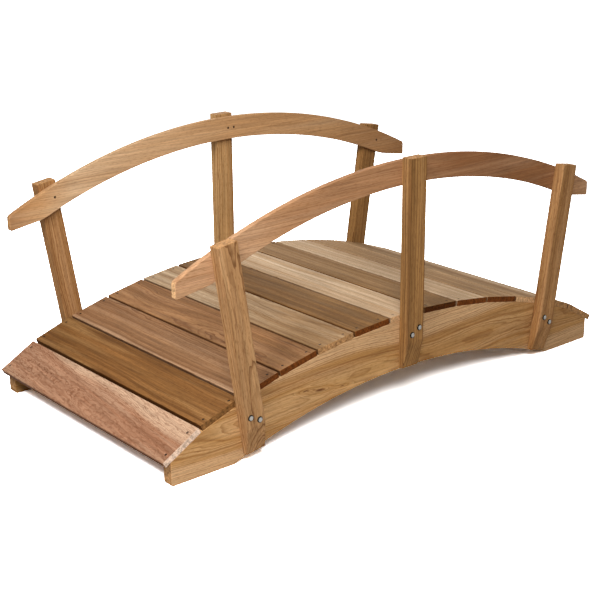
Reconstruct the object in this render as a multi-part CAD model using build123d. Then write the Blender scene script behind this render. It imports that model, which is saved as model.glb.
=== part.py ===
from build123d import *
import os
from math import cos, degrees, radians, sin, sqrt, tan

# An arched garden footbridge of cedar. It stands on two sawn stringers that span along X.
# X runs along the bridge, Y across it and Z up. The origin is on the ground, in the middle.

# Deck boards
board_count = 13
board_width = 140.0
board_thickness = 19.0
board_gap = 6.0
board_edge_round = 3.0
deck_width = 914.0

# Stringers, which carry the boards on flat seats tangent to one arc
stringer_thickness = 38.0
deck_radius = 2160.0
end_board_angle = 29.5
end_board_overhang = 17.0
stringer_end_height = 73.0
stringer_foot_length = 214.0
stringer_crown_depth = 159.0
stringer_toe_round = 8.0

# Posts, bolted to the outer faces of the stringers
post_width = 67.0
post_thickness = 38.0
post_lean = 8.7
end_post_position = 629.0
end_post_rise = 18.0
middle_post_rise = 9.0
post_foot_lift = 6.0
post_bevel_height = 88.0
post_bevel_depth = 20.0

# Handrails, fixed to the inner faces of the posts
rail_length = 1710.0
rail_height = 77.0
rail_thickness = 19.0
rail_radius = 1885.0
rail_over_deck = 483.0
rail_tip_height = 48.0
rail_tail_angle = 9.0
rail_tail_round = 150.0
rail_tip_round = 7.0

# Carriage bolts, two to a post. Bevels round the head to a dome: a share of its radius, then of its height.
bolt_diameter = 8.0
bolt_hole_clearance = 0.3
bolt_head_diameter = 19.0
bolt_head_height = 5.0
bolt_head_sides = 24
bolt_head_bevels = [(0.48, 0.72), (0.30, 0.18)]
bolt_spacing_across = 30.0
bolt_spacing_up = 18.0
middle_bolt_drop = 31.0
end_bolt_drop = 47.0
nut_across_flats = 13.0
nut_height = 6.5

# Seats: each board lies on a flat that touches the deck's arc at the board's middle
seat_step = (board_width + board_gap) / deck_radius
corner_radius = deck_radius / cos(seat_step / 2)
last_corner_angle = (board_count / 2 - 1) * seat_step
end_angle = radians(end_board_angle)
last_corner_x = corner_radius * sin(last_corner_angle)
end_seat_run = (board_gap / 2 + board_width) * cos(end_angle) - end_board_overhang
stringer_half = last_corner_x + end_seat_run
deck_centre_z = stringer_end_height + end_seat_run * tan(end_angle) - corner_radius * cos(last_corner_angle)
deck_crown = deck_centre_z + deck_radius

# Underside of the stringers: flat feet joined by one arch
arch_half_span = stringer_half - stringer_foot_length
arch_rise = deck_crown - stringer_crown_depth
arch_radius = (arch_half_span**2 + arch_rise**2) / (2 * arch_rise)

# Handrail arcs
rail_half = rail_length / 2
rail_crown = deck_crown + board_thickness + rail_over_deck
rail_centre_z = rail_crown - rail_radius

# Faces across the bridge, on the +Y side
side_face = deck_width / 2
stringer_inner_face = side_face - stringer_thickness

SIDES = {"left": 1, "right": -1}
STATIONS = {"entry": -1, "middle": 0, "exit": 1}
REACH_PASSES = 30


def arc_height(centre_z, radius, x):
    """Height of an arc of the given centre and radius above the place x."""
    return centre_z + sqrt(radius**2 - x**2)


def underside_height(x):
    """Height of the stringer's underside: the arch, or the ground past its springing."""
    return max(0.0, arc_height(arch_rise - arch_radius, arch_radius, min(abs(x), arch_half_span)))


def on_side(profile, inner, outer):
    """Solid of an X-Z profile that fills the space from y = inner to y = outer."""
    return Pos(0, outer, 0) * extrude(Plane.XZ * profile, amount=outer - inner)


def mirrored(solid, side):
    """The +Y side's solid, or its mirror image on the -Y side."""
    return solid if side > 0 else mirror(solid, about=Plane.XZ)


def stringer_profile():
    """Side outline: the boards' seats on top, upright ends, flat feet and an arched underside."""
    corner_angles = [(i - board_count / 2 + 1) * seat_step for i in range(board_count - 1)]
    corners = [(corner_radius * sin(a), deck_centre_z + corner_radius * cos(a)) for a in corner_angles]
    with BuildSketch() as outline:
        with BuildLine():
            Polyline(
                (-arch_half_span, 0),
                (-stringer_half, 0),
                (-stringer_half, stringer_end_height),
                *corners,
                (stringer_half, stringer_end_height),
                (stringer_half, 0),
                (arch_half_span, 0),
            )
            ThreePointArc((arch_half_span, 0), (0, arch_rise), (-arch_half_span, 0))
        make_face()
        lowest = outline.vertices().group_by(Axis.Y)[0].sort_by(Axis.X)
        fillet([lowest[0], lowest[-1]], stringer_toe_round)
    return outline.sketch


def rail_profile():
    """Side outline: a band between two arcs, its lower edge straight from each tip to the arc."""
    tip_bottom = arc_height(rail_centre_z, rail_radius, rail_half) - rail_tip_height
    tails_meet = tip_bottom + rail_half * tan(radians(rail_tail_angle))
    with BuildSketch() as outline:
        with Locations((0, rail_centre_z)):
            Circle(rail_radius)
            Circle(rail_radius - rail_height, mode=Mode.SUBTRACT)
        with BuildLine():
            Polyline(
                (-rail_half, tip_bottom),
                (0, tails_meet),
                (rail_half, tip_bottom),
                (rail_half, rail_crown),
                (-rail_half, rail_crown),
                close=True,
            )
        make_face(mode=Mode.INTERSECT)
        tails = outline.vertices().sort_by(Axis.X)[2:-2]
        fillet(tails, rail_tail_round)
        tips = outline.vertices().group_by(Axis.X)
        fillet([*tips[0], *tips[-1]], rail_tip_round)
    return outline.sketch


def board_frame(index):
    """Place on the seat of a board: X along the seat, Z out of the deck."""
    number = index - (board_count - 1) / 2
    angle = number * seat_step
    if index not in (0, board_count - 1):
        touch = Pos(deck_radius * sin(angle), 0, deck_centre_z + deck_radius * cos(angle))
        return touch * Rot(0, degrees(angle), 0)
    end = 1 if number > 0 else -1
    reach = (board_gap + board_width) / 2
    corner_z = deck_centre_z + corner_radius * cos(last_corner_angle)
    x = last_corner_x + reach * cos(end_angle)
    return Pos(end * x, 0, corner_z - reach * sin(end_angle)) * Rot(0, end * end_board_angle, 0)


def make_board(index):
    """One deck board, its two long upper edges eased."""
    plank = Pos(0, 0, board_thickness / 2) * Box(board_width, deck_width, board_thickness)
    upper = plank.edges().filter_by(Axis.Y).group_by(Axis.Z)[-1]
    return board_frame(index) * fillet(upper, board_edge_round)


def post_bolt_centre(station):
    """Middle of a post's pair of bolts, as x and z on the side of the bridge."""
    drop = end_bolt_drop if station else middle_bolt_drop
    x = station * end_post_position
    return x, arc_height(deck_centre_z, deck_radius, x) - drop


def post_frame(station):
    """Place of a post: origin between its bolts on the stringer's face, Z up the post."""
    x, z = post_bolt_centre(station)
    return Pos(x, side_face, z) * Rot(0, station * post_lean, 0)


def post_reach(station, height_at, start):
    """Distance along a post's centre line, from its bolts to where it meets a height line."""
    x, z = post_bolt_centre(station)
    lean = radians(station * post_lean)
    reach = start
    for _ in range(REACH_PASSES):
        reach = (height_at(x + reach * sin(lean)) - z) / cos(lean)
    return reach


def bolt_places(station):
    """The two bolts of a post, set on a diagonal, as x and z in the post's own frame."""
    turn = 1 if station else -1
    across, up = bolt_spacing_across / 2, bolt_spacing_up / 2
    return [(-across, turn * up), (across, -turn * up)]


def bolt_holes(station):
    """Bores through a post and the stringer behind it."""
    bore = Cylinder(bolt_diameter / 2 + bolt_hole_clearance, 2 * (post_thickness + stringer_thickness))
    return [post_frame(station) * Pos(x, 0, z) * Rot(90, 0, 0) * bore for x, z in bolt_places(station)]


def make_post(station):
    """One post, square cut, with a long bevel on the outer side of its foot."""
    rise = end_post_rise if station else middle_post_rise
    top = post_reach(station, lambda x: arc_height(rail_centre_z, rail_radius, x) + rise, rail_over_deck)
    foot = post_reach(station, lambda x: underside_height(x) + post_foot_lift, -arch_rise)
    section = Polyline(
        (0, foot),
        (post_thickness - post_bevel_depth, foot),
        (post_thickness, foot + post_bevel_height),
        (post_thickness, top),
        (0, top),
        close=True,
    )
    blank = extrude(Plane.YZ * make_face(section), amount=post_width / 2, both=True)
    return post_frame(station) * blank - bolt_holes(station)


def make_stringer():
    """One stringer, bored for the bolts of its three posts."""
    beam = on_side(stringer_profile(), stringer_inner_face, side_face)
    for station in STATIONS.values():
        beam -= bolt_holes(station)
    return beam


def make_rail():
    """One handrail, a curved plank whose outer face lies on the posts."""
    return on_side(rail_profile(), side_face - rail_thickness, side_face)


def make_bolt():
    """One dome-headed bolt with its nut: its axis on Y, the post's outer face at y = 0."""
    grip = post_thickness + stringer_thickness
    head_radius = bolt_head_diameter / 2
    head = extrude(RegularPolygon(head_radius, bolt_head_sides), amount=bolt_head_height)
    for across, down in bolt_head_bevels:
        crown = head.faces().sort_by(Axis.Z)[-1]
        head = chamfer(crown.edges(), across * head_radius, down * bolt_head_height, reference=crown)
    shank = Pos(0, 0, -grip / 2) * Cylinder(bolt_diameter / 2, grip)
    hexagon = RegularPolygon(nut_across_flats / 2, 6, major_radius=False)
    nut = Pos(0, 0, -grip - nut_height) * extrude(hexagon, amount=nut_height)
    return Rot(-90, 0, 0) * (head + shank + nut)


def make_bolts(station):
    """The pair of bolts that holds one post."""
    bolt = Pos(0, post_thickness, 0) * make_bolt()
    return Compound([post_frame(station) * Pos(x, 0, z) * bolt for x, z in bolt_places(station)])


nodes = {}
for index in range(board_count):
    nodes[f"deck_board_{index + 1:02d}"] = make_board(index)
for side_name, side in SIDES.items():
    nodes[f"stringer_{side_name}"] = mirrored(make_stringer(), side)
    nodes[f"handrail_{side_name}"] = mirrored(make_rail(), side)
    for station_name, station in STATIONS.items():
        nodes[f"post_{side_name}_{station_name}"] = mirrored(make_post(station), side)
        nodes[f"bolts_{side_name}_{station_name}"] = mirrored(make_bolts(station), side)

os.makedirs("parts", exist_ok=True)
for name, solid in nodes.items():
    export_step(solid, f"parts/{name}.step")
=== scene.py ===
"""Looks of an arched garden footbridge, sawn from planed western red cedar and bolted with plated steel.

Every timber is modelled in its own plank frame, in millimetres: x runs along the grain, y across the
plank and z out of its show face. One matrix then sets the plank on the bridge, and the same matrix
gives its material the place of the grain, so that rings, streaks and end grain agree on all faces.
"""

import logging
import math
import random
from collections.abc import Callable
from dataclasses import dataclass, replace
from enum import Enum

import bmesh
import bpy
from bmesh.types import BMEdge, BMesh, BMVert
from bpy.types import Material, Node, NodeSocket, NodeTree
from mathutils import Matrix, Vector

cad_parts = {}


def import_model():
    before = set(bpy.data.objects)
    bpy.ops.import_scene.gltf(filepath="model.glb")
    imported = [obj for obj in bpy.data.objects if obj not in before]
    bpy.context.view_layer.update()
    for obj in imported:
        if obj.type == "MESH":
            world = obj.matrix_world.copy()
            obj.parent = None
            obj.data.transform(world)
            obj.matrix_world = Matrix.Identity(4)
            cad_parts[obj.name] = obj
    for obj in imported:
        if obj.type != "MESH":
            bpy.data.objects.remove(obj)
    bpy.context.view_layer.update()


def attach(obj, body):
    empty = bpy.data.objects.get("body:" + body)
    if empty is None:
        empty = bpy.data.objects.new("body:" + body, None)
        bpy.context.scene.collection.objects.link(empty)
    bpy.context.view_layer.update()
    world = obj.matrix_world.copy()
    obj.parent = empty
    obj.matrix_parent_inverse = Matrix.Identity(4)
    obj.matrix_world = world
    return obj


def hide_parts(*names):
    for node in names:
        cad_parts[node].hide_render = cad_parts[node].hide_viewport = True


MM = 0.001
BODY = "root"
LOG = logging.getLogger("footbridge")

# What feeds a node's input: a socket, or a node by its first output
Feed = Node | NodeSocket

# Sockets by number: the inputs of a Map Range node, then the inputs and the output of a colour Mix node
VALUE, LOW, HIGH, AT_LOW, AT_HIGH = range(5)
SHARE, UNDER, OVER, MIXED = 0, 6, 7, 2

# The end posts' lean, the passes that find a post's reach, and the area past which a face is taken as flat
POST_LEAN = math.radians(8.7)
REACH_PASSES = 30
LARGEST_CURVE = 1500.0


class Named(Enum):
    """A choice whose name is a part of the pieces' names."""

    @property
    def label(self) -> str:
        """Its name as the pieces have it."""
        return self.name.lower()


class Side(Named):
    """Side of the bridge, by the sign of y."""

    LEFT = 1
    RIGHT = -1


class Station(Named):
    """Place of a post along the bridge, by the sign of x."""

    ENTRY = -1
    MIDDLE = 0
    EXIT = 1


def linear(colour: str) -> tuple[float, float, float, float]:
    """Turns an sRGB hex colour to linear.

    Args:
        colour: Six hex digits after a hash.

    Returns:
        Red, green, blue and an alpha of 1, as Blender's sockets take them.
    """
    parts = [int(colour[i : i + 2], 16) / 255 for i in (1, 3, 5)]
    red, green, blue = (c / 12.92 if c <= 0.04045 else ((c + 0.055) / 1.055) ** 2.4 for c in parts)
    return red, green, blue, 1.0


def add_node(
    tree: NodeTree, kind: str, inputs: dict[int | str, object] | None = None, **settings: object
) -> Node:
    """Adds a node with its settings, values and links.

    Args:
        tree: Node tree that gets the node.
        kind: Blender's name of the node's type, less the ShaderNode that they all begin with.
        inputs: For each input, a value, or the socket or node that feeds it.
        **settings: Properties of the node itself.

    Returns:
        The new node.
    """
    made = tree.nodes.new(f"ShaderNode{kind}")
    for name, value in settings.items():
        setattr(made, name, value)
    for key, value in (inputs or {}).items():
        if isinstance(value, Feed):
            tree.links.new(value if isinstance(value, NodeSocket) else value.outputs[0], made.inputs[key])
        else:
            made.inputs[key].default_value = value
    return made


def blank_material(name: str) -> tuple[Material, NodeTree]:
    """Starts a material without any nodes.

    Args:
        name: Name of the material.

    Returns:
        The material and its empty node tree.
    """
    made = bpy.data.materials.new(name)
    made.use_nodes = True
    made.node_tree.nodes.clear()
    return made, made.node_tree


def facing(tree: NodeTree, normal: Feed, way: Vector, start: float, full: float) -> Feed:
    """Masks the faces that look one way or its opposite.

    Args:
        tree: Node tree of the material.
        normal: The surface's direction.
        way: The direction to look for.
        start: Cosine between the two at which the mask starts.
        full: Cosine at which it is full.

    Returns:
        The mask, from 0 to 1.
    """
    cosine = add_node(tree, "VectorMath", {0: normal, 1: way}, operation="DOT_PRODUCT").outputs["Value"]
    cosine = add_node(tree, "Math", {0: cosine}, operation="ABSOLUTE")
    span = {VALUE: cosine, LOW: start, HIGH: full}
    return add_node(tree, "MapRange", span, interpolation_type="SMOOTHSTEP")


def drawn_out_noise(
    tree: NodeTree, point: Feed, along: float, across: float, detail: float, roughness: float
) -> Node:
    """Adds noise drawn out along the grain.

    Args:
        tree: Node tree of the cedar.
        point: Place in the log, in millimetres.
        along: Length of a patch along the grain, in millimetres.
        across: Its width.
        detail: Number of finer octaves.
        roughness: Strength of each octave beside the one before.

    Returns:
        The noise texture.
    """
    rate = (1 / along, 1 / across, 1 / across)
    at = add_node(tree, "VectorMath", {0: point, 1: rate}, operation="MULTIPLY")
    return add_node(tree, "TexNoise", {"Vector": at, "Scale": 1.0, "Detail": detail, "Roughness": roughness})


@dataclass(frozen=True)
class CedarTone:
    """Colours of one plank of cedar, as sRGB hex: early and late wood, streaks, sapwood and knots."""

    early: str
    late: str
    streak: str
    sap: str
    knot: str = "#4e2a14"


class Heartwood(Enum):
    """The shades that heartwood of western red cedar comes in."""

    ROSE = CedarTone(early="#ab8063", late="#673a22", streak="#93684d", sap="#c9a88a")
    OLIVE = CedarTone(early="#946638", late="#4f3116", streak="#6f4824", sap="#b48a58")
    PINK = CedarTone(early="#a17854", late="#5e3a20", streak="#835d3d", sap="#c09a78")
    RUSSET = CedarTone(early="#a77a52", late="#5d361c", streak="#86603c", sap="#b88e69")
    UMBER = CedarTone(early="#906a40", late="#50361c", streak="#745230", sap="#ae8a60")
    WALNUT = CedarTone(early="#a57f57", late="#5c3f22", streak="#8a673f", sap="#bd9a70")
    STRAW = CedarTone(early="#a4835d", late="#6e4b2a", streak="#8d6b46", sap="#dac1a0")
    BLOND = CedarTone(early="#dabd9b", late="#8b6640", streak="#b79570", sap="#e6d1b3")
    ASH = CedarTone(early="#bc9972", late="#70502f", streak="#99754f", sap="#c9ab86")
    HONEY = CedarTone(early="#c0935c", late="#764822", streak="#aa7a44", sap="#cfa77c")
    TAN = CedarTone(early="#b28557", late="#643b1d", streak="#9a6d3f", sap="#c49a70")
    AMBER = CedarTone(early="#b98d60", late="#623c1e", streak="#a1764a", sap="#c79f74")
    BRASS = CedarTone(early="#c39a68", late="#744e2a", streak="#a77a4c", sap="#d2ad80")
    BRONZE = CedarTone(early="#a97c4a", late="#4c2c14", streak="#8b6439", sap="#b99164")
    WHEAT = CedarTone(early="#c5986a", late="#734420", streak="#b4885a", sap="#e2c7a4")
    SALMON = CedarTone(early="#b98b64", late="#6e3f1e", streak="#a8794f", sap="#d6b391")


class EndGrain(Enum):
    """How a sawn end looks: fresh and pale, or dark where its open pores have drunk oil and water."""

    ROSY = "#dabca4"
    PALE = "#c79c70"
    TAN = "#aa7e52"
    BROWN = "#7d562f"
    RED = "#683713"
    DARK = "#4a2407"


@dataclass(frozen=True)
class Knot:
    """A knot on the show face: its place along and across the plank, and its radius, in millimetres.

    The rings within its reach swell round it by its push, both in radii. Slenderness is the width of that
    swelling over its length.
    """

    along: float
    across: float
    radius: float
    reach: float = 3.4
    push: float = 2.4
    slenderness: float = 0.22
    heart: tuple[float, float] = (0.8, 0.1)


@dataclass(frozen=True)
class Sawing:
    """How a plank was sawn from its log, in millimetres, which sets the figure on every face.

    The pith runs along the plank, pith_below under the show face. Sway bends the rings slowly and gives
    the cathedral arches, and ripple wavers them within a hand's breadth. Skew is the angle, in radians,
    between the log and the plank, seen on the show face. Bunching is how many years the rings crowd or
    spread, and bunch_rate how often, per year.
    """

    pith_across: float
    pith_below: float
    ring_pitch: float = 3.6
    zone_width: float = 26.0
    sway: float = 14.0
    sway_length: float = 520.0
    sway_width: float = 150.0
    ripple: float = 1.4
    ripple_length: float = 64.0
    ripple_width: float = 17.0
    bunching: float = 2.4
    bunch_rate: float = 0.31
    sap_radius: float = 900.0
    log_start: float = 0.0
    skew: float = 0.0
    knots: tuple[Knot, ...] = ()


@dataclass(frozen=True)
class PlanedCedar:
    """Western red cedar, planed: matt, with a faint raised grain that catches low light.

    The fibres and flecks of cedar are under a millimetre wide. They are drawn a few millimetres wide, so
    that they show from where the photograph was taken. Fade lists places along the plank, in millimetres,
    each with its paleness from -1, dark, to 1, pale, and dusk and dawn are how far those two go. Relief is
    the height of the raised grain, in millimetres, and late_sink how deep the late wood lies in it.
    """

    tone: Heartwood
    sawing: Sawing
    end: EndGrain = EndGrain.TAN
    fade: tuple[tuple[float, float], ...] = ()
    dusk: float = 0.5
    dawn: float = 0.7
    ring_strength: float = 0.8
    zone_strength: float = 0.9
    streak_strength: float = 0.35
    glow_strength: float = 0.3
    sap_strength: float = 0.75
    knot_strength: float = 0.75
    fleck_strength: float = 0.3
    fleck_length: float = 18.0
    fleck_width: float = 4.0
    fibre_width: float = 6.0
    # Share of the long edges' colour kept under their painted shade, for the dark gaps between boards
    edge_shade: float = 1.0
    gloss: float = 0.04
    rough_low: float = 0.56
    rough_high: float = 0.72
    relief: float = 0.12
    late_sink: float = 0.6

    def material(self, name: str, place: Matrix) -> Material:
        """Makes the cedar of one plank.

        Args:
            name: Name of the material.
            place: The plank's frame on the bridge, in metres.

        Returns:
            The material, whose pattern follows the plank's own grain.
        """
        made, tree = blank_material(name)
        tone, sawing = self.tone.value, self.sawing
        at = add_node(tree, "TexCoord")
        frame = {"Location": place.translation, "Rotation": place.to_euler("XYZ"), "Scale": (MM, MM, MM)}
        plank = add_node(tree, "Mapping", {"Vector": at.outputs["Object"], **frame}, vector_type="TEXTURE")
        skewed = {"Vector": plank, "Angle": sawing.skew}
        turned = add_node(tree, "VectorRotate", skewed, rotation_type="Z_AXIS")
        pith = (sawing.log_start, sawing.pith_across, sawing.pith_below)
        in_log = add_node(tree, "VectorMath", {0: turned, 1: pith}, operation="ADD")
        radius, core = self._ring_radius(tree, in_log)
        late = self._late_wood(tree, radius)
        zones = {"W": radius, "Scale": 1 / sawing.zone_width, "Detail": 3.0, "Roughness": 0.6}
        zone = add_node(tree, "TexNoise", zones, noise_dimensions="1D")
        zone = add_node(tree, "MapRange", {VALUE: zone, LOW: 0.36, HIGH: 0.64})
        streak = self._patches(tree, in_log, along=1400.0, across=34.0, low=0.4, high=0.66)
        glow = self._patches(tree, in_log, along=760.0, across=47.0, low=0.5, high=0.7)
        fibre = self._patches(tree, in_log, 170.0, self.fibre_width, low=0.3, high=0.7, detail=5.0)
        fleck = self._patches(tree, in_log, self.fleck_length, self.fleck_width, low=0.52, high=0.66)
        sapwood = {VALUE: radius, LOW: sawing.sap_radius - 7.0, HIGH: sawing.sap_radius + 9.0}
        sap = add_node(tree, "MapRange", sapwood, interpolation_type="SMOOTHSTEP")
        layers = [
            *self._fading(tree, plank),
            (zone, self.zone_strength, tone.streak),
            (streak, self.streak_strength, tone.late),
            (glow, self.glow_strength, tone.sap),
            (sap, self.sap_strength, tone.sap),
            (late, self.ring_strength, tone.late),
            (fleck, self.fleck_strength, tone.late),
            (core, self.knot_strength, tone.knot),
        ]
        colour = linear(tone.early)
        for share, strength, other in layers:
            amount = add_node(tree, "Math", {0: share, 1: strength}, operation="MULTIPLY")
            mix = {SHARE: amount, UNDER: colour, OVER: linear(other)}
            colour = add_node(tree, "Mix", mix, data_type="RGBA").outputs[MIXED]
        brightness = add_node(tree, "MapRange", {VALUE: fibre, AT_LOW: 0.74, AT_HIGH: 1.2})
        colour = add_node(tree, "HueSaturation", {"Value": brightness, "Color": colour})
        colour = self._with_edge_shade_and_ends(tree, colour, at.outputs["Normal"], place, in_log, late)
        rough = add_node(tree, "MapRange", {VALUE: fibre, AT_LOW: self.rough_low, AT_HIGH: self.rough_high})
        raised = add_node(tree, "Math", {0: late, 1: -self.late_sink, 2: fibre}, operation="MULTIPLY_ADD")
        bump = add_node(tree, "Bump", {"Strength": 0.5, "Distance": self.relief * MM, "Height": raised})
        look = {"Base Color": colour, "Roughness": rough, "Normal": bump}
        surface = add_node(tree, "BsdfPrincipled", {**look, "Specular IOR Level": self.gloss})
        add_node(tree, "OutputMaterial", {"Surface": surface})
        return made

    def _fading(self, tree: NodeTree, plank: Feed) -> list[tuple[Feed, float, str]]:
        """Slow change of the colour along the plank, in two deck boards also a painted post shadow.

        Args:
            tree: Node tree of the cedar.
            plank: Place in the plank, in millimetres.

        Returns:
            Layers, each a share, a strength and a colour. There are none where the plank is even.
        """
        if not self.fade:
            return []
        first, last = self.fade[0][0], self.fade[-1][0]
        along = add_node(tree, "SeparateXYZ", {0: plank}).outputs["X"]
        share = add_node(tree, "MapRange", {VALUE: along, LOW: first, HIGH: last})
        ramp = add_node(tree, "ValToRGB", {0: share})
        stops = ramp.color_ramp.elements
        for at, level in self.fade:
            grey = (level + 1) / 2
            place = (at - first) / (last - first)
            stop = stops[0] if place == 0 else stops[-1] if place == 1 else stops.new(place)
            stop.color = (grey, grey, grey, 1.0)
        pale, dark = (
            add_node(tree, "MapRange", {VALUE: ramp, LOW: 0.5, HIGH: extreme})
            for extreme in (1.0, 0.0)
        )
        return [(pale, self.dawn, self.tone.value.sap), (dark, self.dusk, self.tone.value.late)]

    def _patches(
        self,
        tree: NodeTree,
        point: Feed,
        along: float,
        across: float,
        low: float,
        high: float,
        detail: float = 2.0,
    ) -> Feed:
        """Patches of colour drawn out along the grain.

        Args:
            tree: Node tree of the cedar.
            point: Place in the log, in millimetres.
            along: Length of a patch along the grain, in millimetres.
            across: Its width.
            low: Noise level that becomes 0.
            high: Noise level that becomes 1.
            detail: Number of finer octaves.

        Returns:
            The patches, from 0 to 1.
        """
        noise = drawn_out_noise(tree, point, along, across, detail, roughness=0.62)
        return add_node(tree, "MapRange", {VALUE: noise, LOW: low, HIGH: high})

    def _ring_radius(self, tree: NodeTree, in_log: Feed) -> tuple[Feed, Feed | float]:
        """Distance from the pith, bent as the tree grew.

        Args:
            tree: Node tree of the cedar.
            in_log: Place in the log, in millimetres.

        Returns:
            The distance in millimetres, and a mask of the knots' hearts.
        """
        sawing = self.sawing
        point = in_log
        for along, across, reach in (
            (sawing.sway_length, sawing.sway_width, sawing.sway),
            (sawing.ripple_length, sawing.ripple_width, sawing.ripple),
        ):
            noise = drawn_out_noise(tree, in_log, along, across, detail=1.0, roughness=0.5).outputs["Color"]
            centred = add_node(tree, "VectorMath", {0: noise, 1: (0.5, 0.5, 0.5)}, operation="SUBTRACT")
            bend = {0: centred, 1: (0.0, 4 * reach, 4 * reach), 2: point}
            point = add_node(tree, "VectorMath", bend, operation="MULTIPLY_ADD")
        flat = add_node(tree, "VectorMath", {0: point, 1: (0.0, 1.0, 1.0)}, operation="MULTIPLY")
        radius = add_node(tree, "VectorMath", {0: flat}, operation="LENGTH").outputs["Value"]
        core, eased = 0.0, "SMOOTHERSTEP"
        for knot in sawing.knots:
            middle = (knot.along + sawing.log_start, knot.across + sawing.pith_across, 0.0)
            offset = add_node(tree, "VectorMath", {0: point, 1: middle}, operation="SUBTRACT")
            radii = {0: offset, 1: (knot.slenderness / knot.radius, 1 / knot.radius, 0.0)}
            radii_away = add_node(tree, "VectorMath", radii, operation="MULTIPLY")
            away = add_node(tree, "VectorMath", {0: radii_away}, operation="LENGTH").outputs["Value"]
            swell, heart = (
                add_node(tree, "MapRange", {VALUE: away, LOW: far, HIGH: near}, interpolation_type=eased)
                for far, near in ((knot.reach, 0.0), knot.heart)
            )
            pushed = {0: swell, 1: knot.push * knot.radius, 2: radius}
            radius = add_node(tree, "Math", pushed, operation="MULTIPLY_ADD")
            core = add_node(tree, "Math", {0: core, 1: heart}, operation="MAXIMUM")
        return radius, core

    def _late_wood(self, tree: NodeTree, radius: Feed) -> Feed:
        """Dark late wood at the outer side of each ring, stronger in some years than in others.

        Args:
            tree: Node tree of the cedar.
            radius: Distance from the pith, in millimetres.

        Returns:
            How much of the late wood's colour shows, from 0 to 1.
        """
        even = add_node(tree, "Math", {0: radius, 1: self.sawing.ring_pitch}, operation="DIVIDE")
        rate = {"W": even, "Scale": self.sawing.bunch_rate, "Detail": 1.0}
        crowding = add_node(tree, "TexNoise", rate, noise_dimensions="1D")
        bunched = {0: crowding, 1: self.sawing.bunching, 2: even}
        years = add_node(tree, "Math", bunched, operation="MULTIPLY_ADD")
        season = add_node(tree, "Math", {0: years}, operation="FRACT")
        year = add_node(tree, "Math", {0: years}, operation="FLOOR")
        luck = add_node(tree, "TexWhiteNoise", {"W": year}, noise_dimensions="1D")
        late = add_node(tree, "MapRange", {VALUE: luck, AT_LOW: 0.3, AT_HIGH: 1.0})
        for start, full in ((0.5, 0.93), (1.0, 0.95)):
            part = {VALUE: season, LOW: start, HIGH: full}
            slope = add_node(tree, "MapRange", part, interpolation_type="SMOOTHSTEP")
            late = add_node(tree, "Math", {0: late, 1: slope}, operation="MULTIPLY")
        return late

    def _with_edge_shade_and_ends(
        self,
        tree: NodeTree,
        colour: Feed,
        normal: Feed,
        place: Matrix,
        in_log: Feed,
        late: Feed,
    ) -> Feed:
        """Paints shade on the long edges, for the shade in the gaps between boards, and gives the ends their
        own blotched colour.

        Args:
            tree: Node tree of the cedar.
            colour: The wood's colour on its show face.
            normal: The surface's direction.
            place: The plank's frame on the bridge.
            in_log: Place in the log, in millimetres.
            late: The late wood's share, which darkens the rings on the end too.

        Returns:
            The colour on all sides.
        """
        along, across, _ = (way.normalized() for way in place.to_3x3().col)
        edge = facing(tree, normal, across, start=0.75, full=0.97)
        end = facing(tree, normal, along, start=0.6, full=0.95)
        # Painted shade on the long edges, mixed towards the darkest end-grain colour
        gap_shade = add_node(tree, "Math", {0: edge, 1: 1.0 - self.edge_shade}, operation="MULTIPLY")
        painted_shade = {SHARE: gap_shade, UNDER: colour, OVER: linear(EndGrain.DARK.value)}
        colour = add_node(tree, "Mix", painted_shade, data_type="RGBA").outputs[MIXED]
        blotch = self._patches(tree, in_log, along=60.0, across=8.0, low=0.32, high=0.66, detail=4.0)
        rings = add_node(tree, "MapRange", {VALUE: late, AT_LOW: 1.0, AT_HIGH: 0.6})
        speckle = add_node(tree, "MapRange", {VALUE: blotch, AT_LOW: 0.5, AT_HIGH: 1.4})
        shade = add_node(tree, "Math", {0: rings, 1: speckle}, operation="MULTIPLY")
        pores = add_node(tree, "HueSaturation", {"Value": shade, "Color": linear(self.end.value)})
        sides = {SHARE: end, UNDER: colour, OVER: pores}
        return add_node(tree, "Mix", sides, data_type="RGBA").outputs[MIXED]


@dataclass(frozen=True)
class PlatedSteel:
    """Steel, cold headed and bright zinc plated: a clear metal gloss, and painted shade at the rims.

    Cloud is the width of the plating's cloudy patches, in millimetres. The dark rim colour is painted shade
    and painted dark reflection. Axis is the way that the heads face, and between two given cosines to it
    the faces turn from that dark rim to the bright plating.
    """

    name: str = "zinc_plated_steel"
    colour: str = "#c4c0b9"
    # Colour of the painted shade and painted dark reflection on the steep faces
    rim_shade: str = "#15110d"
    axis: tuple[float, float, float] = (0.0, 1.0, 0.0)
    clean: tuple[float, float] = (0.76, 0.995)
    rough_low: float = 0.1
    rough_high: float = 0.26
    cloud: float = 4.0

    def material(self) -> Material:
        """Makes the plated steel.

        Returns:
            The material.
        """
        made, tree = blank_material(self.name)
        at = add_node(tree, "TexCoord")
        clouds = {"Vector": at.outputs["Object"], "Scale": 1 / (self.cloud * MM), "Detail": 3.0}
        cloud = add_node(tree, "TexNoise", clouds)
        haze = {VALUE: cloud, LOW: 0.3, HIGH: 0.7, AT_LOW: self.rough_low, AT_HIGH: self.rough_high}
        rough = add_node(tree, "MapRange", haze)
        # Painted shade and reflection: faces turned from the axis, such as steep rims, take the dark colour
        bright = facing(tree, at.outputs["Normal"], Vector(self.axis), *self.clean)
        rim_shading = {SHARE: bright, UNDER: linear(self.rim_shade), OVER: linear(self.colour)}
        colour = add_node(tree, "Mix", rim_shading, data_type="RGBA").outputs[MIXED]
        look = {"Base Color": colour, "Metallic": 1.0, "Roughness": rough}
        surface = add_node(tree, "BsdfPrincipled", look)
        add_node(tree, "OutputMaterial", {"Surface": surface})
        return made


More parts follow.
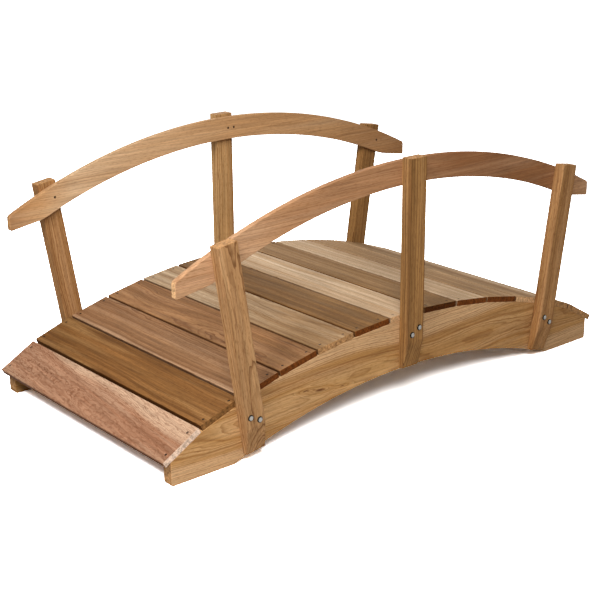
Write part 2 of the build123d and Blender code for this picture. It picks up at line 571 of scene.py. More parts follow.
def deck_finishes() -> tuple[PlanedCedar, ...]:
    """Cedar of the thirteen boards: mixed shades, as such timber comes, and painted shade in places.

    Returns:
        A finish for each board, from the entry end.
    """
    curly = Sawing(-32.0, 58.0, ring_pitch=3.4, ripple=2.4, ripple_length=28.0, sap_radius=111.0, skew=0.09)
    olive = Sawing(150.0, 90.0, ring_pitch=4.0, zone_width=34.0, log_start=2100.0)
    pink = Sawing(120.0, 70.0, sap_radius=199.0, log_start=4300.0)
    straw = Sawing(100.0, 150.0, ring_pitch=4.6, log_start=8700.0)
    blond = Sawing(190.0, 110.0, log_start=3100.0)
    rosy = ((-457.0, -0.9), (-250.0, -0.3), (0.0, 0.0), (457.0, 0.1))
    far_dark = ((-457.0, 0.1), (150.0, 0.0), (457.0, -0.7))
    far_pale = ((-457.0, -0.2), (-150.0, 0.35), (150.0, 1.0))
    near_dark = ((-457.0, -0.7), (-250.0, 0.0), (150.0, 0.6))
    # Painted shadows of the near posts, darkest a little in from the near ends of the fourth and eighth
    # boards
    post_shadow = ((-457.0, 0.0), (-410.0, -0.2), (-345.0, -0.75), (-260.0, -0.2), (-150.0, 0.0), (457.0, 0.0))
    painted_shade = ((-457.0, -0.6), (-410.0, -1.0), (-330.0, -0.4), (-200.0, 0.0), (150.0, 0.5))
    flecks = {"fleck_strength": 0.45, "fleck_length": 20.0, "fleck_width": 5.0}
    tone, end = Heartwood, EndGrain
    boards = (
        PlanedCedar(tone.ROSE, curly, end.ROSY, rosy, zone_strength=0.6, glow_strength=0.5, **flecks),
        PlanedCedar(tone.OLIVE, olive, end.BROWN, far_dark, streak_strength=0.5, glow_strength=0.55),
        PlanedCedar(tone.PINK, pink, end.RED),
        PlanedCedar(tone.RUSSET, Sawing(-60.0, 140.0, log_start=6500.0), end.RED, post_shadow),
        PlanedCedar(tone.STRAW, straw, end.TAN, far_pale, zone_strength=0.65),
        PlanedCedar(tone.UMBER, Sawing(170.0, 60.0, log_start=1500.0), end.RED, streak_strength=0.5),
        PlanedCedar(tone.BLOND, blond, end.PALE, near_dark, zone_strength=1.0),
        PlanedCedar(tone.WALNUT, Sawing(-130.0, 60.0, log_start=5200.0), end.DARK, painted_shade, dusk=0.7),
        PlanedCedar(tone.BLOND, Sawing(210.0, 80.0, log_start=7400.0), end.RED, zone_strength=0.7),
        PlanedCedar(tone.ASH, Sawing(140.0, 90.0, log_start=9900.0), end.RED, zone_strength=0.8),
        PlanedCedar(tone.ASH, Sawing(-70.0, 120.0, log_start=700.0), end.PALE, streak_strength=0.6),
        PlanedCedar(tone.BLOND, Sawing(40.0, 100.0, log_start=2900.0)),
        PlanedCedar(tone.ASH, Sawing(20.0, 80.0, log_start=4800.0)),
    )
    # Every board gets painted shade on its long edges, for the dark gaps between boards
    return tuple(replace(board, edge_shade=0.35) for board in boards)


def stringer_finishes() -> dict[Side, PlanedCedar]:
    """Cedar of the two stringers: flat sawn, with arches of grain, a run of pin knots and a sappy back.

    Returns:
        A finish for each side.
    """
    knots = (Knot(-358.0, 137.0, 7.0), Knot(-412.0, 148.0, 4.5), Knot(-268.0, 131.0, 4.0))
    near = Sawing(-137.0, 58.0, ring_pitch=4.4, sway=13.0, ripple=0.9, sap_radius=127.0, knots=knots)
    far = Sawing(-110.0, 62.0, ring_pitch=4.4, ripple=0.9, sap_radius=150.0, log_start=3300.0)
    near_fade = ((-893.0, 0.6), (-100.0, 0.1), (300.0, 0.6), (893.0, 0.3))
    return {
        Side.RIGHT: PlanedCedar(Heartwood.HONEY, near, fade=near_fade),
        Side.LEFT: PlanedCedar(Heartwood.HONEY, far, ring_strength=0.9),
    }


def rail_finishes() -> dict[Side, PlanedCedar]:
    """Cedar of the two handrails, cut from wide planks with quiet grain.

    Returns:
        A finish for each side.
    """
    near = Sawing(-900.0, 150.0, ring_pitch=4.0, sway=9.0, ripple=0.8, log_start=1200.0)
    far = Sawing(-980.0, 120.0, ring_pitch=4.2, sway=9.0, ripple=0.8, log_start=5600.0)
    near_left = ((-855.0, 0.3), (-600.0, 0.4), (-420.0, -0.25), (0.0, -0.3))
    near_right = ((220.0, -1.0), (620.0, -0.9), (855.0, 0.3))
    far_left = ((-855.0, -1.0), (-500.0, -0.2), (0.0, 0.0))
    far_right = ((350.0, 0.3), (620.0, 0.8), (740.0, 0.0), (855.0, -1.0))
    quiet = {"streak_strength": 0.2, "glow_strength": 0.15, "fleck_strength": 0.25}
    return {
        Side.RIGHT: PlanedCedar(
            Heartwood.SALMON,
            near,
            EndGrain.PALE,
            near_left + near_right,
            dusk=0.75,
            ring_strength=0.45,
            zone_strength=0.3,
            **quiet,
        ),
        Side.LEFT: PlanedCedar(
            Heartwood.WHEAT,
            far,
            EndGrain.TAN,
            far_left + far_right,
            dusk=0.6,
            ring_strength=0.42,
            zone_strength=0.25,
            **quiet,
        ),
    }


def post_finishes() -> dict[tuple[Side, Station], PlanedCedar]:
    """Cedar of the six posts: quarter sawn, but for one with arches of grain.

    Returns:
        A finish for each side and station.
    """
    tones = {
        (Side.LEFT, Station.ENTRY): Heartwood.TAN,
        (Side.LEFT, Station.MIDDLE): Heartwood.BRASS,
        (Side.LEFT, Station.EXIT): Heartwood.BRONZE,
        (Side.RIGHT, Station.ENTRY): Heartwood.AMBER,
        (Side.RIGHT, Station.MIDDLE): Heartwood.BRONZE,
        (Side.RIGHT, Station.EXIT): Heartwood.TAN,
    }
    made = {}
    for number, (key, tone) in enumerate(tones.items()):
        across = 24.0 if key == (Side.RIGHT, Station.ENTRY) else 70.0 + 13.0 * number
        sawing = Sawing(across, 44.0, ring_pitch=4.6, sway=9.0, log_start=1300.0 * number + 400.0)
        made[key] = PlanedCedar(tone, sawing, ring_strength=0.85, fleck_strength=0.4)
    striped = Sawing(118.0, 60.0, ring_pitch=7.0, sway=3.0, ripple=0.5, log_start=5600.0)
    made[Side.RIGHT, Station.MIDDLE] = PlanedCedar(Heartwood.BRONZE, striped, ring_strength=0.95)
    return made


def outline_arc(
    bm: BMesh, start: tuple[float, float], centre_height: float, angle: float, steps: int
) -> list[BMVert]:
    """Draws an arc of an outline about a centre on the plank's middle line.

    Args:
        bm: Mesh that gets the arc.
        start: Its first point.
        centre_height: Height of its centre.
        angle: How far it turns, anticlockwise.
        steps: Number of chords.

    Returns:
        The arc's points in order.
    """
    first = bm.verts.new((*start, 0.0))
    bmesh.ops.spin(
        bm, geom=[first], cent=(0.0, centre_height, 0.0), axis=(0.0, 0.0, 1.0), angle=angle, steps=steps
    )
    bm.verts.ensure_lookup_table()
    return [first, *bm.verts[-steps:]]


def thicken(bm: BMesh, outline: list[BMVert], thickness: float) -> None:
    """Turns a closed outline into a plank.

    Args:
        bm: Mesh that holds the outline.
        outline: Its points in order.
        thickness: Thickness of the plank.
    """
    face = bm.faces.new(outline)
    raised = bmesh.ops.extrude_face_region(bm, geom=[face])["geom"]
    moved = [v for v in raised if isinstance(v, BMVert)]
    bmesh.ops.translate(bm, verts=moved, vec=(0.0, 0.0, thickness))
    bmesh.ops.recalc_face_normals(bm, faces=bm.faces)


def square_timber(middle: float, length: float, width: float, thickness: float) -> BMesh:
    """Saws a straight timber in its plank frame.

    Args:
        middle: Place of its middle along the grain.
        length: Length along the grain.
        width: Width across the plank.
        thickness: Thickness, from its back at height 0.

    Returns:
        The timber.
    """
    timber = bmesh.new()
    centre = Matrix.Translation((middle, 0.0, thickness / 2))
    size = Matrix.Diagonal((length, width, thickness, 1.0))
    bmesh.ops.create_cube(timber, size=1.0, matrix=centre @ size)
    return timber


def round_edges(bm: BMesh, edges: list[BMEdge], radius: float, segments: int, clamp: bool = False) -> None:
    """Rounds edges of a mesh.

    Args:
        bm: The mesh.
        edges: The edges to round.
        radius: Radius of the rounding.
        segments: Number of strips along each edge.
        clamp: Whether a rounding stops where it meets another.
    """
    bmesh.ops.bevel(
        bm,
        geom=edges,
        offset=radius,
        segments=segments,
        profile=0.5,
        affect="EDGES",
        material=-1,
        clamp_overlap=clamp,
    )


def ease_corners(bm: BMesh, radius: float, segments: int = 3, sharper_than: float = 40.0) -> None:
    """Eases every corner of a timber, as a router or sandpaper does.

    Args:
        bm: The timber.
        radius: Radius of the easing.
        segments: Number of strips round each corner.
        sharper_than: Turn of a corner, in degrees, past which it is eased.
    """
    turn = math.radians(sharper_than)
    corners = [e for e in bm.edges if e.is_manifold and e.calc_face_angle() > turn]
    round_edges(bm, corners, radius, segments, clamp=True)


def add_object(bm: BMesh, name: str) -> bpy.types.Object:
    """Puts a mesh in the scene.

    Args:
        bm: The mesh. It is freed.
        name: Name of the object.

    Returns:
        The object.
    """
    mesh = bpy.data.meshes.new(name)
    bm.to_mesh(mesh)
    bm.free()
    made = bpy.data.objects.new(name, mesh)
    bpy.context.scene.collection.objects.link(made)
    return made


def make_piece(
    bm: BMesh, name: str, place: Matrix, material: Material, stands_for: tuple[str, ...] = ()
) -> None:
    """Sets a finished mesh on the bridge as a piece, with its place in its mesh.

    Args:
        bm: The mesh, in millimetres in its own frame. It is freed.
        name: Name of the piece.
        place: Its frame on the bridge, in metres.
        material: Its finish.
        stands_for: CAD nodes that it replaces.
    """
    bmesh.ops.transform(bm, matrix=place @ Matrix.Scale(MM, 4), verts=bm.verts)
    piece = add_object(bm, name)
    piece.data.materials.append(material)
    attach(piece, BODY)
    if stands_for:
        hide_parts(*stands_for)
    LOG.info("%s: %d faces", name, len(piece.data.polygons))


def make_timber(timber: BMesh, node: str, cut: str, place: Matrix, finish: PlanedCedar) -> None:
    """Sets a timber on the bridge, its broad and square faces flat, and its eased strips smooth.

    Args:
        timber: Its mesh, in millimetres in its plank frame. It is freed.
        node: CAD node that it replaces.
        cut: How it was cut, which ends its name.
        place: Its plank frame on the bridge, in metres.
        finish: Its cedar.
    """
    for face in timber.faces:
        square = max(abs(c) for c in face.normal) > 0.9999
        face.smooth = not square and face.calc_area() < LARGEST_CURVE
    make_piece(timber, f"{node}_{cut}", place, finish.material(node, place), (node,))


@dataclass(frozen=True)
class DeckLine:
    """The deck's arc in millimetres: the flats that the boards lie on, and the stringers' top."""

    count: int = 13
    width: float = 140.0
    gap: float = 6.0
    thickness: float = 19.0
    span_across: float = 914.0
    radius: float = 2160.0
    end_angle: float = math.radians(29.5)
    end_overhang: float = 17.0
    end_height: float = 73.0

    @property
    def step(self) -> float:
        """Angle from one board to the next."""
        return (self.width + self.gap) / self.radius

    @property
    def corner_radius(self) -> float:
        """Radius of the corners between the flats."""
        return self.radius / math.cos(self.step / 2)

    @property
    def last_corner(self) -> float:
        """Angle of the corner before an end board."""
        return (self.count / 2 - 1) * self.step

    @property
    def end_run(self) -> float:
        """Length along x of the flat under an end board."""
        return (self.gap / 2 + self.width) * math.cos(self.end_angle) - self.end_overhang

    @property
    def half_length(self) -> float:
        """Half the length of a stringer."""
        return self.corner_radius * math.sin(self.last_corner) + self.end_run

    @property
    def centre_height(self) -> float:
        """Height of the arc's centre."""
        top_of_end = self.end_height + self.end_run * math.tan(self.end_angle)
        return top_of_end - self.corner_radius * math.cos(self.last_corner)

    @property
    def crown(self) -> float:
        """Height of the arc's top."""
        return self.centre_height + self.radius

    @property
    def side(self) -> float:
        """Distance from the middle to the deck's edge."""
        return self.span_across / 2

    def height(self, x: float) -> float:
        """Height of the arc above a place x."""
        return self.centre_height + math.sqrt(self.radius**2 - x**2)

    def corners(self) -> list[tuple[float, float]]:
        """Corners between the flats.

        Returns:
            Their places along x and heights, from the entry end to the exit end.
        """
        radius, centre = self.corner_radius, self.centre_height
        angles = [(i - self.count / 2 + 1) * self.step for i in range(self.count - 1)]
        return [(radius * math.sin(a), centre + radius * math.cos(a)) for a in angles]

    def board_place(self, index: int) -> Matrix:
        """Frame of a board on its flat.

        Args:
            index: Number of the board from the entry end, from 0.

        Returns:
            Its plank frame, in metres: x along the board, z out of the deck.
        """
        number = index - (self.count - 1) / 2
        angle = number * self.step
        x, z = self.radius * math.sin(angle), self.height(self.radius * math.sin(angle))
        if index in (0, self.count - 1):
            end = math.copysign(1, number)
            angle = end * self.end_angle
            reach = (self.gap + self.width) / 2
            corner_x, corner_z = self.corners()[-1]
            x = end * (corner_x + reach * math.cos(self.end_angle))
            z = corner_z - reach * math.sin(self.end_angle)
        turned = Matrix.Rotation(angle, 4, "Y") @ Matrix.Rotation(math.pi / 2, 4, "Z")
        return Matrix.Translation(Vector((x, 0.0, z)) * MM) @ turned


def side_place(side: Side, y: float) -> Matrix:
    """Frame of a plank that stands on edge along the bridge.

    Args:
        side: Side of the bridge.
        y: Distance of its inner face from the middle, in millimetres.

    Returns:
        Its plank frame, in metres: x along the bridge, y up, z outwards.
    """
    turned = Matrix.Rotation(math.pi / 2, 4, "X")
    if side is Side.LEFT:
        turned = Matrix.Rotation(math.pi, 4, "Z") @ turned
    return Matrix.Translation((0.0, side.value * y * MM, 0.0)) @ turned


@dataclass
class Screws:
    """Small countersunk screws with a recess of four arms, sunk a little below the wood."""

    head_radius: float = 4.2
    head_segments: int = 16
    recess_radius: float = 4.7
    recess_segments: int = 20
    sunk: float = 0.8
    rim: float = 0.35
    arm: float = 2.3
    waist: float = 0.9
    bite: float = 1.4

    @property
    def recess_depth(self) -> float:
        """Depth of the recess that a head lies in."""
        return self.sunk + self.rim

    def drill(self, bm: BMesh, holes: list[Vector], outwards: int = 1) -> None:
        """Cuts the flat-bottomed recesses of the heads into a plank's face.

        Args:
            bm: The plank, whose mesh is changed.
            holes: Centres of the recesses, on the face.
            outwards: Sign of the face's direction along z.
        """
        cutter = bmesh.new()
        for hole in holes:
            bmesh.ops.create_cone(
                cutter,
                cap_ends=True,
                segments=self.recess_segments,
                radius1=self.recess_radius,
                radius2=self.recess_radius,
                depth=4 * self.recess_depth,
                matrix=Matrix.Translation(hole + Vector((0.0, 0.0, outwards * self.recess_depth))),
            )
        solids = [add_object(shape, "cut") for shape in (bm.copy(), cutter)]
        cut = solids[0].modifiers.new("recess", "BOOLEAN")
        cut.object = solids[1]
        cut.operation = "DIFFERENCE"
        cut.solver = "EXACT"
        graph = bpy.context.evaluated_depsgraph_get()
        result = bpy.data.meshes.new_from_object(solids[0].evaluated_get(graph))
        bm.clear()
        bm.from_mesh(result)
        spent = [result, *(solid.data for solid in solids)]
        for solid in solids:
            bpy.data.objects.remove(solid)
        for mesh in spent:
            bpy.data.meshes.remove(mesh)

    def add_head(self, bm: BMesh, place: Matrix) -> None:
        """Adds one head.

        Args:
            bm: Mesh of the heads, in metres.
            place: Frame of the screw: z out of the wood, with the origin on the wood's face.
        """
        head = bmesh.ops.create_cone(
            bm,
            cap_ends=True,
            segments=self.head_segments,
            radius1=self.head_radius,
            radius2=self.head_radius - self.rim,
            depth=2 * self.rim,
        )["verts"]
        made = set(head)
        face = max({f for v in head for f in v.link_faces}, key=lambda f: f.calc_center_median().z)
        for depth in (0.0, self.bite):
            ring = bmesh.ops.inset_region(bm, faces=[face], thickness=0.05, use_even_offset=True)["faces"]
            for number, loop in enumerate(face.loops):
                reach = self.arm if number % (self.head_segments // 4) == 0 else self.waist
                flat = Vector((loop.vert.co.x, loop.vert.co.y, 0.0)).normalized() * reach
                loop.vert.co = Vector((flat.x, flat.y, self.rim - depth))
            made.update(v for f in ring for v in f.verts)
        sunk = Matrix.Translation((0.0, 0.0, -self.recess_depth * MM))
        bmesh.ops.transform(bm, matrix=place @ sunk @ Matrix.Scale(MM, 4), verts=list(made))

    def finish(self, heads: BMesh, name: str) -> None:
        """Makes one piece of a mesh of heads.

        Args:
            heads: The heads, in metres. It is freed.
            name: Name of the piece.
        """
        bmesh.ops.scale(heads, vec=(1 / MM,) * 3, verts=heads.verts)
        # Its second colour is the painted shade of PlatedSteel, on faces turned away from the y axis
        steel = PlatedSteel("dark_coated_steel", "#2c2621", "#171310", rough_low=0.45, rough_high=0.65)
        make_piece(heads, name, Matrix.Identity(4), steel.material())


@dataclass
class DeckBoards:
    """The deck: planed boards laid across the stringers and screwed down at both ends."""

    line: DeckLine
    screws: Screws
    edge_round: float = 3.0
    end_round: float = 1.0
    screw_inset: float = 20.0
    screw_spread: float = 90.0
    screw_play: tuple[float, float] = (2.0, 3.0)
    length_play: float = 1.2

    def build(self) -> None:
        """Makes every board, and the heads of its screws as one mesh."""
        chance = random.Random(13)
        heads = bmesh.new()
        for index, finish in enumerate(deck_finishes()):
            place = self.line.board_place(index)
            board = self._board(chance)
            seats = self._screw_places(chance)
            self.screws.drill(board, seats)
            make_timber(board, f"deck_board_{index + 1:02d}", "planed", place, finish)
            for seat in seats:
                turn = Matrix.Rotation(chance.uniform(0, math.pi), 4, "Z")
                self.screws.add_head(heads, place @ Matrix.Translation(seat * MM) @ turn)
        self.screws.finish(heads, "deck_screws")

    def _board(self, chance: random.Random) -> BMesh:
        """Saws one board in its plank frame, its long upper edges rounded.

        Args:
            chance: Source of what is trimmed off each end.

        Returns:
            The board.
        """
        line = self.line
        trims = [chance.uniform(0, self.length_play) for _ in range(2)]
        middle, length = (trims[0] - trims[1]) / 2, line.span_across - sum(trims)
        board = square_timber(middle, length, line.width, line.thickness)
        long_upper = [
            e
            for e in board.edges
            if all(v.co.z > line.thickness / 2 for v in e.verts)
            and abs(e.verts[0].co.x - e.verts[1].co.x) > 1
        ]
        round_edges(board, long_upper, self.edge_round, segments=4)
        ease_corners(board, self.end_round, segments=2)
        return board

    def _screw_places(self, chance: random.Random) -> list[Vector]:
        """Sets four screws, two over each stringer, by hand and so not quite in line.

        Args:
            chance: Source of the hand's play.

        Returns:
            Their places in the plank frame.
        """
        along, across = self.line.side - self.screw_inset, self.screw_spread / 2
        play_x, play_y = self.screw_play
        places = []
        for x in (-along, along):
            for y in (-across, across):
                aside = chance.uniform(-play_x, play_x), chance.uniform(-play_y, play_y)
                places.append(Vector((x + aside[0], y + aside[1], self.line.thickness)))
        return places


@dataclass
class Stringers:
    """The two sawn beams: flats for the boards on top, flat feet and an arched underside."""

    line: DeckLine
    thickness: float = 38.0
    foot_length: float = 214.0
    crown_depth: float = 159.0
    toe_round: float = 8.0
    edge_round: float = 1.6
    arch_steps: int = 72

    @property
    def half_span(self) -> float:
        """Half the width of the arch at the ground."""
        return self.line.half_length - self.foot_length

    @property
    def rise(self) -> float:
        """Height of the arch."""
        return self.line.crown - self.crown_depth

    @property
    def arch_radius(self) -> float:
        """Radius of the arch."""
        return (self.half_span**2 + self.rise**2) / (2 * self.rise)

    def underside(self, x: float) -> float:
        """Height of the underside above a place x."""
        x = min(abs(x), self.half_span)
        return max(0.0, self.rise - self.arch_radius + math.sqrt(self.arch_radius**2 - x**2))

    def build(self) -> None:
        """Makes both stringers."""
        for side, finish in stringer_finishes().items():
            place = side_place(side, self.line.side - self.thickness)
            make_timber(self._beam(), f"stringer_{side.label}", "sawn", place, finish)

    def _beam(self) -> BMesh:
        """Saws one stringer in its plank frame.

        Returns:
            The stringer.
        """
        beam = bmesh.new()
        centre = self.rise - self.arch_radius
        turn = 2 * math.asin(self.half_span / self.arch_radius)
        outline = outline_arc(beam, (self.half_span, 0.0), centre, turn, self.arch_steps)
        half, end = self.line.half_length, self.line.end_height
        upper = [(-half, 0.0), (-half, end), *self.line.corners(), (half, end), (half, 0.0)]
        outline += [beam.verts.new((x, y, 0.0)) for x, y in upper]
        thicken(beam, outline, self.thickness)
        toes = [e for e in beam.edges if all(abs(v.co.x) > half - 1 and abs(v.co.y) < 1 for v in e.verts)]
        round_edges(beam, toes, self.toe_round, segments=6)
        ease_corners(beam, self.edge_round, segments=2)
        return beam


@dataclass
class Handrails:
    """The two handrails: curved planks sawn with straight tails, screwed to the posts' inner faces.

    An end post's screw stands where a line that leans like the post, from end_screw_from along the deck,
    meets the handrail, give or take end_screw_play at the two ends.
    """

    line: DeckLine
    screws: Screws
    length: float = 1710.0
    depth: float = 77.0
    thickness: float = 19.0
    radius: float = 1885.0
    over_deck: float = 483.0
    tip_height: float = 48.0
    tail_angle: float = math.radians(9.0)
    tail_round: float = 150.0
    tip_round: float = 7.0
    edge_round: float = 1.8
    top_steps: int = 90
    under_steps: int = 34
    middle_screws: tuple[float, float] = (3.0, 27.0)
    end_screw_from: float = 625.0
    end_screw_play: tuple[float, float] = (9.0, 12.0)

    @property
    def crown(self) -> float:
        """Height of the handrail's top."""
        return self.line.crown + self.line.thickness + self.over_deck

    @property
    def centre_height(self) -> float:
        """Height of the arcs' centre."""
        return self.crown - self.radius

    def top(self, x: float) -> float:
        """Height of the top above a place x."""
        return self.centre_height + math.sqrt(self.radius**2 - x**2)

    def build(self) -> None:
        """Makes both handrails and the screws that hold them."""
        facing_in = Matrix.Rotation(math.pi, 4, "X")
        for side, finish in rail_finishes().items():
            place = side_place(side, self.line.side - self.thickness)
            name = f"handrail_{side.label}"
            rail = self._rail()
            seats = self._screw_places(side)
            self.screws.drill(rail, seats, outwards=-1)
            make_timber(rail, name, "sawn", place, finish)
            heads = bmesh.new()
            for seat in seats:
                self.screws.add_head(heads, place @ Matrix.Translation(seat * MM) @ facing_in)
            self.screws.finish(heads, f"{name}_screws")

    def _screw_places(self, side: Side) -> list[Vector]:
        """Sets the screws through a handrail's inner face into its posts.

        Args:
            side: Side of the bridge.

        Returns:
            Their places in the plank frame.
        """
        start = self.end_screw_from
        reach = start + (self.top(start) - self.line.height(start)) * math.tan(POST_LEAN)
        entry_play, exit_play = self.end_screw_play
        along = [-reach + entry_play, *self.middle_screws, reach + exit_play]
        turned = -1 if side is Side.LEFT else 1
        return [Vector((turned * x, self.top(x) - 0.5 * self.depth, 0.0)) for x in along]

    def _rail(self) -> BMesh:
        """Saws one handrail in its plank frame.

        Returns:
            The handrail.
        """
        rail = bmesh.new()
        half = self.length / 2
        centre = self.centre_height
        tip_bottom = self.top(half) - self.tip_height
        slope = math.tan(self.tail_angle)
        inner = self.radius - self.depth
        drop = tip_bottom + half * slope - centre
        meet = (slope * drop + math.sqrt(inner**2 * (1 + slope**2) - drop**2)) / (1 + slope**2)
        meet_height = tip_bottom + (half - meet) * slope
        top_turn, under_turn = 2 * math.asin(half / self.radius), -2 * math.asin(meet / inner)
        top = outline_arc(rail, (half, self.top(half)), centre, top_turn, self.top_steps)
        entry_tip = rail.verts.new((-half, tip_bottom, 0.0))
        under = outline_arc(rail, (-meet, meet_height), centre, under_turn, self.under_steps)
        exit_tip = rail.verts.new((half, tip_bottom, 0.0))
        thicken(rail, [*top, entry_tip, *under, exit_tip], self.thickness)
        turn = math.asin(meet / inner) - self.tail_angle
        for x, offset in ((half, self.tip_round), (meet, self.tail_round * math.tan(turn / 2))):
            across = [
                e
                for e in rail.edges
                if all(abs(abs(v.co.x) - x) < 0.01 for v in e.verts)
                and abs(e.verts[0].co.z - e.verts[1].co.z) > 1
                and (x == half or e.verts[0].co.y < meet_height + 1)
            ]
            round_edges(rail, across, offset, segments=5)
        ease_corners(rail, self.edge_round)
        return rail


@dataclass
class Posts:
    """Six posts bolted outside the stringers, with a long bevel on the outer side of the foot."""

    line: DeckLine
    stringers: Stringers
    rails: Handrails
    width: float = 67.0
    thickness: float = 38.0
    end_position: float = 629.0
    end_rise: float = 18.0
    middle_rise: float = 9.0
    foot_lift: float = 6.0
    bevel_height: float = 88.0
    bevel_depth: float = 20.0
    edge_round: float = 2.2
    middle_bolt_drop: float = 31.0
    end_bolt_drop: float = 47.0

    def place(self, side: Side, station: Station) -> Matrix:
        """Frame of a post.

        Args:
            side: Side of the bridge.
            station: Place along it.

        Returns:
            Its plank frame, in metres, with the origin between its bolts on the stringer's outer face:
            x up the post, z outwards.
        """
        x = station.value * self.end_position
        drop = self.middle_bolt_drop if station is Station.MIDDLE else self.end_bolt_drop
        lean = station.value * POST_LEAN
        up = Vector((math.sin(lean), 0.0, math.cos(lean)))
        out = Vector((0.0, side.value, 0.0))
        turned = Matrix((up, out.cross(up), out)).transposed().to_4x4()
        at = Vector((x, side.value * self.line.side, self.line.height(x) - drop))
        return Matrix.Translation(at * MM) @ turned

    def build(self) -> None:
        """Makes the six posts."""
        for (side, station), finish in post_finishes().items():
            place = self.place(side, station)
            name = f"post_{side.label}_{station.label}"
            make_timber(self._post(station, place), name, "planed", place, finish)

    def _reach(self, place: Matrix, height_at: Callable[[float], float], start: float) -> float:
        """Distance up a post's centre line to where it meets a line on the bridge.

        Args:
            place: The post's frame.
            height_at: Gives the line's height at x, in millimetres.
            start: First guess.

        Returns:
            The distance from the bolts, in millimetres.
        """
        at, up = place.translation / MM, place.to_3x3().col[0]
        reach = start
        for _ in range(REACH_PASSES):
            reach = (height_at(at.x + reach * up.x) - at.z) / up.z
        return reach

    def _post(self, station: Station, place: Matrix) -> BMesh:
        """Saws one post in its plank frame.

        Args:
            station: Its place along the bridge.
            place: Its frame, which tells how far it reaches.

        Returns:
            The post.
        """
        rise = self.middle_rise if station is Station.MIDDLE else self.end_rise
        top = self._reach(place, lambda x: self.rails.top(x) + rise, self.rails.over_deck)
        foot = self._reach(place, lambda x: self.stringers.underside(x) + self.foot_lift, 0.0)
        post = square_timber((top + foot) / 2, top - foot, self.width, self.thickness)
        cut = bmesh.ops.bisect_plane(
            post,
            geom=[*post.verts, *post.edges, *post.faces],
            plane_co=(foot + self.bevel_height, 0.0, self.thickness),
            plane_no=Vector((-self.bevel_depth, 0.0, self.bevel_height)).normalized(),
            clear_outer=True,
        )
        bmesh.ops.contextual_create(post, geom=[e for e in cut["geom_cut"] if isinstance(e, BMEdge)])
        bmesh.ops.recalc_face_normals(post, faces=post.faces)
        ease_corners(post, self.edge_round, sharper_than=10.0)
        return post


